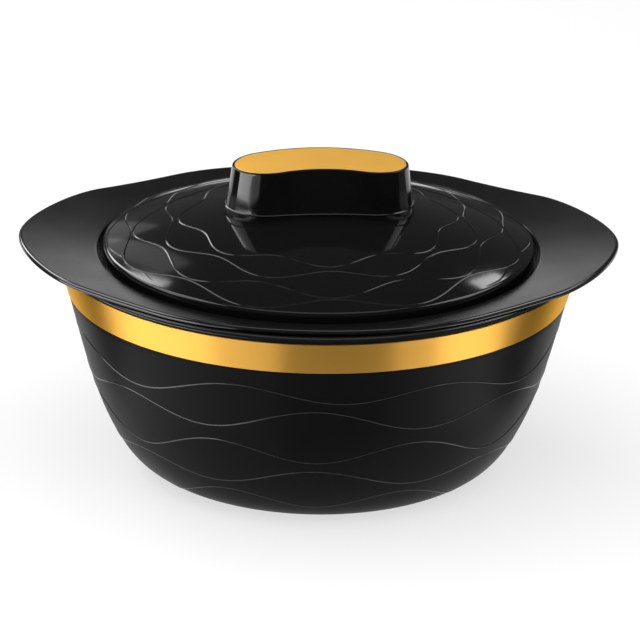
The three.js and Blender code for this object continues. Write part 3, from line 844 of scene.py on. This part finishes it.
def gloss_black():
    color = (0.0048, 0.0048, 0.0052)
    surface = Surface("gloss_black_plastic", color, metallic=0.0, roughness=0.09, specular=0.45)
    cloudy = surface.noise(scale=30.0)
    surface.tint(cloudy, spread=0.1)
    surface.roughen(cloudy, spread=0.02)
    surface.bump(surface.noise(scale=160.0, detail=1.0), depth=0.00002, strength=0.35)
    return surface.look


def satin_gold(name, metallic, roughness, anisotropy, color):
    surface = Surface(name, color, metallic, roughness)
    surface.shade({"Specular Tint": (1.0, 0.8, 0.4, 1)})
    cloudy = surface.noise(scale=38.0)
    surface.tint(cloudy, spread=0.05)
    surface.roughen(cloudy, spread=0.02)
    surface.bump(surface.noise(scale=3200.0, detail=2.0), depth=0.000008, strength=0.4)
    if anisotropy:
        surface.shade({"Anisotropic Rotation": 0.25})
        surface.brush_round(anisotropy)
    return surface.look


def spun_steel(name, roughness):
    """Steel turned on a lathe: fine rings about the Z axis."""
    surface = Surface(name, (0.62, 0.62, 0.61), metallic=1.0, roughness=roughness)
    parts = surface.add("ShaderNodeSeparateXYZ", {"Vector": surface.place}).outputs
    flat = surface.add("ShaderNodeCombineXYZ", {"X": parts["X"], "Y": parts["Y"]})
    reach = surface.add("ShaderNodeVectorMath", {0: flat.outputs["Vector"]}, operation="LENGTH")
    rings = surface.add("ShaderNodeCombineXYZ", {"X": reach.outputs["Value"], "Y": parts["Z"]})
    turned = surface.noise(scale=1800.0, detail=4.0, roughness=0.7, place=rings.outputs["Vector"])
    surface.tint(surface.noise(scale=40.0), spread=0.04)
    surface.roughen(turned, spread=0.06)
    surface.bump(turned, depth=0.00001, strength=0.35)
    surface.brush_round(0.5)
    return surface.look


def zinc_steel():
    surface = Surface("zinc_plated_steel", (0.55, 0.57, 0.6), metallic=1.0, roughness=0.35)
    cloudy = surface.noise(scale=900.0)
    surface.tint(cloudy, spread=0.12)
    surface.roughen(cloudy, spread=0.07)
    surface.bump(cloudy, depth=0.00001, strength=0.5)
    return surface.look


def rigid_foam():
    color = (0.74, 0.64, 0.36)
    surface = Surface("rigid_foam", color, metallic=0.0, roughness=0.9, specular=0.2)
    cells = surface.add("ShaderNodeTexVoronoi", {"Scale": 900.0, "Vector": surface.place})
    surface.tint(surface.noise(scale=60.0), spread=0.12)
    surface.bump(cells.outputs["Distance"], depth=0.0003, strength=0.6)
    return surface.look


# Stage: floor, world, lamps, flat cards and camera
FLOOR_SHADE = 0.88
FLOOR_GLOW_SHARE = 0.68
FLOOR_HALF_WIDTH = 9.0


def floor_material():
    """Pale paper, whitened where a camera, glossy or transmission ray sees it."""
    look = bpy.data.materials.new("pale_floor")
    look.use_nodes = True
    tree = look.node_tree
    tree.nodes.clear()
    paper = add_node(tree, "ShaderNodeBsdfDiffuse", {"Color": grey(FLOOR_SHADE)})
    glow = add_node(tree, "ShaderNodeEmission", {"Color": grey(1), "Strength": 1.0})
    path = add_node(tree, "ShaderNodeLightPath")
    seen = path.outputs["Is Camera Ray"]
    for ray in ("Is Glossy Ray", "Is Transmission Ray"):
        inputs = {0: seen, 1: path.outputs[ray]}
        seen = add_node(tree, "ShaderNodeMath", inputs, operation="MAXIMUM").outputs["Value"]
    inputs = {0: seen, 1: FLOOR_GLOW_SHARE}
    share = add_node(tree, "ShaderNodeMath", inputs, operation="MULTIPLY").outputs["Value"]
    inputs = {"Fac": share, 1: paper.outputs["BSDF"], 2: glow.outputs["Emission"]}
    mixed = add_node(tree, "ShaderNodeMixShader", inputs)
    add_node(tree, "ShaderNodeOutputMaterial", {"Surface": mixed.outputs["Shader"]})
    return look


def stage_floor():
    shape = bmesh.new()
    bmesh.ops.create_grid(shape, x_segments=8, y_segments=8, size=FLOOR_HALF_WIDTH)
    mesh = bpy.data.meshes.new("floor")
    shape.to_mesh(mesh)
    shape.free()
    mesh.materials.append(floor_material())
    floor = bpy.data.objects.new("floor", mesh)
    bpy.context.scene.collection.objects.link(floor)


# Brightness of the world by the sine of the height above the horizon
WORLD_STOPS = [(0.0, 0.1), (0.3, 0.08), (0.5, 0.05), (0.8, 0.04)]


def studio_world():
    world = bpy.data.worlds.new("studio")
    bpy.context.scene.world = world
    world.use_nodes = True
    tree = world.node_tree
    way = add_node(tree, "ShaderNodeTexCoord").outputs["Generated"]
    height = add_node(tree, "ShaderNodeSeparateXYZ", {"Vector": way}).outputs["Z"]
    ramp = add_node(tree, "ShaderNodeValToRGB", {"Fac": height})
    stops = ramp.color_ramp.elements
    for stop, (place, level) in zip(list(stops), (WORLD_STOPS[0], WORLD_STOPS[-1])):
        stop.position, stop.color = place, grey(level)
    for place, level in WORLD_STOPS[1:-1]:
        stops.new(place).color = grey(level)
    background = tree.nodes["Background"]
    fill_inputs(tree, background, {"Color": ramp.outputs["Color"], "Strength": 1.0})


LAMP_AIM = (0, 0, 0.11)
LEFT_WING = (-0.092, -0.061, 0.118)
FRONT_RIGHT_LID = (0.085, -0.06, 0.12)


def soft_box(name, turn_degrees, rise_degrees, distance, width, height, level, aim=LAMP_AIM):
    """A rectangular lamp seen at a level of brightness, with 1 as white."""
    turn, rise = math.radians(turn_degrees), math.radians(rise_degrees)
    flat = math.cos(rise)
    way = Vector((math.sin(turn) * flat, -math.cos(turn) * flat, math.sin(rise)))
    lamp = bpy.data.lights.new(name, "AREA")
    lamp.shape = "RECTANGLE"
    lamp.size = width
    lamp.size_y = height
    lamp.energy = level * math.pi * width * height
    holder = bpy.data.objects.new(name, lamp)
    holder.location = Vector(aim) + way * distance
    holder.rotation_euler = way.to_track_quat("Z", "Y").to_euler()
    holder.visible_camera = False
    bpy.context.scene.collection.objects.link(holder)
    return holder


def card(*placing, **options):
    """A soft box that only reflections see."""
    soft_box(*placing, **options).visible_diffuse = False


def fill(*placing, **options):
    """A soft box that reflections don't see."""
    soft_box(*placing, **options).visible_glossy = False


def studio_lamps():
    """Each lamp has a turn, a rise, a distance, a width, a height and a level."""
    fill("overhead_fill", 0, 76, 1.9, 3.4, 3.2, 2.3)
    fill("left_fill", -95, 45, 1.6, 1.2, 0.9, 1.8)
    card("overhead_card", 0, 90, 1.6, 1.3, 1.0, 0.8)
    card("left_top", -103, 43, 1.6, 1.2, 1.1, 2.8)
    card("right_top", 103, 43, 1.6, 0.9, 0.9, 2.8)
    soft_box("back_left", -147, 29, 1.6, 0.5, 0.78, 5.5, aim=LEFT_WING)
    soft_box("back_right", 156.4, 36.2, 1.6, 0.12, 0.21, 5.0, aim=FRONT_RIGHT_LID)
    card("left_fringe", -162, 26, 1.6, 0.11, 0.7, 0.45, aim=LEFT_WING)
    card("left_fringe_low", -165.5, 11, 1.6, 0.13, 0.4, 0.28, aim=LEFT_WING)
    card("left_card", -68, -7.5, 0.55, 0.56, 0.075, 4.5)
    card("back_card", 180, 13, 1.6, 0.36, 0.34, 0.8)


# Flat cards that only reflections see: shade, glow and corners
FLAGS = {
    "near_flag": (0.32, 0, [
        (-0.03, -0.14, 0.003), (0.07, -0.14, 0.003), (0.2, -0.38, 0.003), (-0.09, -0.38, 0.003),
    ]),
    "far_flag": (0.02, 0, [
        (-0.18, -0.38, 0.004), (0.27, -0.32, 0.004), (1.0, -1.2, 0.2), (-0.68, -1.4, 0.2),
    ]),
    "left_flag": (0.02, 0, [
        (-0.16, -0.06, 0.003), (-0.16, -0.015, 0.003), (-1.02, 0.95, 0.06), (-1.38, 0.27, 0.06),
    ]),
    "right_flag": (0.12, 0, [
        (0.15, -0.07, 0.003), (0.16, 0.0, 0.003), (1.15, 0.8, 0.06), (1.4, 0.05, 0.06),
    ]),
    "right_floor_flag": (0.02, 0, [
        (0.27, -0.32, 0.004), (0.42, -0.02, 0.004), (1.3, -0.04, 0.02), (1.0, -1.2, 0.02),
    ]),
    "back_flag": (0.06, 0, [
        (-1.2, 1.5, 0.0), (1.2, 1.5, 0.0), (1.2, 1.5, 0.26), (-1.2, 1.5, 0.26),
    ]),
    "left_glow": (0.0, 1.6, [
        (-0.09, -0.13, 0.005), (-0.155, -0.03, 0.005), (-0.42, 0.02, 0.005), (-0.27, -0.32, 0.005),
    ]),
    "right_glow": (0.0, 2.0, [
        (0.105, -0.12, 0.005), (0.145, -0.06, 0.005), (0.41, -0.09, 0.005), (0.3, -0.29, 0.005),
    ]),
}


def stage_flags():
    for name, (shade, glow, corners) in FLAGS.items():
        look = bpy.data.materials.new(f"{name}_card")
        look.use_nodes = True
        shader = look.node_tree.nodes["Principled BSDF"]
        fill_inputs(look.node_tree, shader, {
            "Base Color": grey(shade), "Roughness": 0.9, "Specular IOR Level": 0.0,
            "Emission Color": grey(1), "Emission Strength": glow,
        })
        mesh = bpy.data.meshes.new(name)
        mesh.from_pydata(corners, [], [(0, 1, 2, 3)])
        mesh.materials.append(look)
        flag = bpy.data.objects.new(name, mesh)
        flag.visible_camera = False
        flag.visible_diffuse = False
        flag.visible_shadow = False
        bpy.context.scene.collection.objects.link(flag)


# The camera looks down at the axis at the height of the body's rim
PHOTO_SIZE = 640
VIEW_DISTANCE = 1.818
VIEW_DEGREES = 20.0
VIEW_ROLL_DEGREES = 0.9
VIEW_AIM = 0.0943
VIEW_LENS_SHARE = 3500 / PHOTO_SIZE
VIEW_SHIFT = (2.0 / PHOTO_SIZE, -37.85 / PHOTO_SIZE)
SENSOR_WIDTH = 36.0


def studio_camera():
    data = bpy.data.cameras.new("camera")
    data.sensor_width = SENSOR_WIDTH
    data.lens = VIEW_LENS_SHARE * SENSOR_WIDTH
    data.shift_x, data.shift_y = VIEW_SHIFT
    data.clip_end = 50.0
    camera = bpy.data.objects.new("camera", data)
    rise = math.radians(VIEW_DEGREES)
    height = VIEW_AIM + VIEW_DISTANCE * math.sin(rise)
    place = Vector((0, -VIEW_DISTANCE * math.cos(rise), height))
    tilt = Matrix.Rotation(math.pi / 2 - rise, 4, "X")
    roll = Matrix.Rotation(math.radians(VIEW_ROLL_DEGREES), 4, "Z")
    camera.matrix_world = Matrix.Translation(place) @ tilt @ roll
    bpy.context.scene.collection.objects.link(camera)
    bpy.context.scene.camera = camera


studio_camera()
studio_world()
studio_lamps()
stage_floor()
stage_flags()

body_black = satin_black(
    "satin_black_plastic", specular=0.06, roughness=0.4, color=(0.0043, 0.0044, 0.0047)
)
line_black = satin_black("polished_line_plastic", specular=0.5, roughness=0.22)
edge_black = satin_black("polished_edge_plastic", specular=0.9, roughness=0.1)
brim_black = satin_black(
    "brim_black_plastic", specular=0.45, roughness=0.2, color=(0.004, 0.004, 0.0044)
)
lid_black = gloss_black()
band_gold = satin_gold(
    "satin_gold_band", metallic=1.0, roughness=0.42, anisotropy=0.85, color=(0.95, 0.52, 0.1)
)
plate_gold = satin_gold(
    "satin_gold_plate", metallic=0.7, roughness=0.5, anisotropy=0.0, color=(0.96, 0.54, 0.1)
)
bowl_steel = spun_steel("spun_steel", roughness=0.28)
liner_steel = spun_steel("spun_steel_liner", roughness=0.24)
foam = rigid_foam()
zinc = zinc_steel()

body_piece(body_black, line_black)
band_piece(band_gold)
collar_piece(brim_black, edge_black)
bowl_piece(bowl_steel)
lid_piece(lid_black)
liner_piece(liner_steel)
knob_piece(lid_black)
cap_piece(plate_gold)
plug_piece("base_stopper", "base_plug", "casserole", body_black)
plug_piece("lid_stopper", "lid_plug", "lid", body_black)

# The insulation, screws and washers keep their CAD shapes
kept_nodes = {"body_insulation": foam, "lid_insulation": foam}
for side in ("left", "right"):
    kept_nodes[f"knob_screw_{side}"] = zinc
    kept_nodes[f"knob_washer_{side}"] = zinc
for node, look in kept_nodes.items():
    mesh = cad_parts[node].data
    mesh.materials.clear()
    mesh.materials.append(look)

bpy.context.scene.view_settings.view_transform = "Standard"
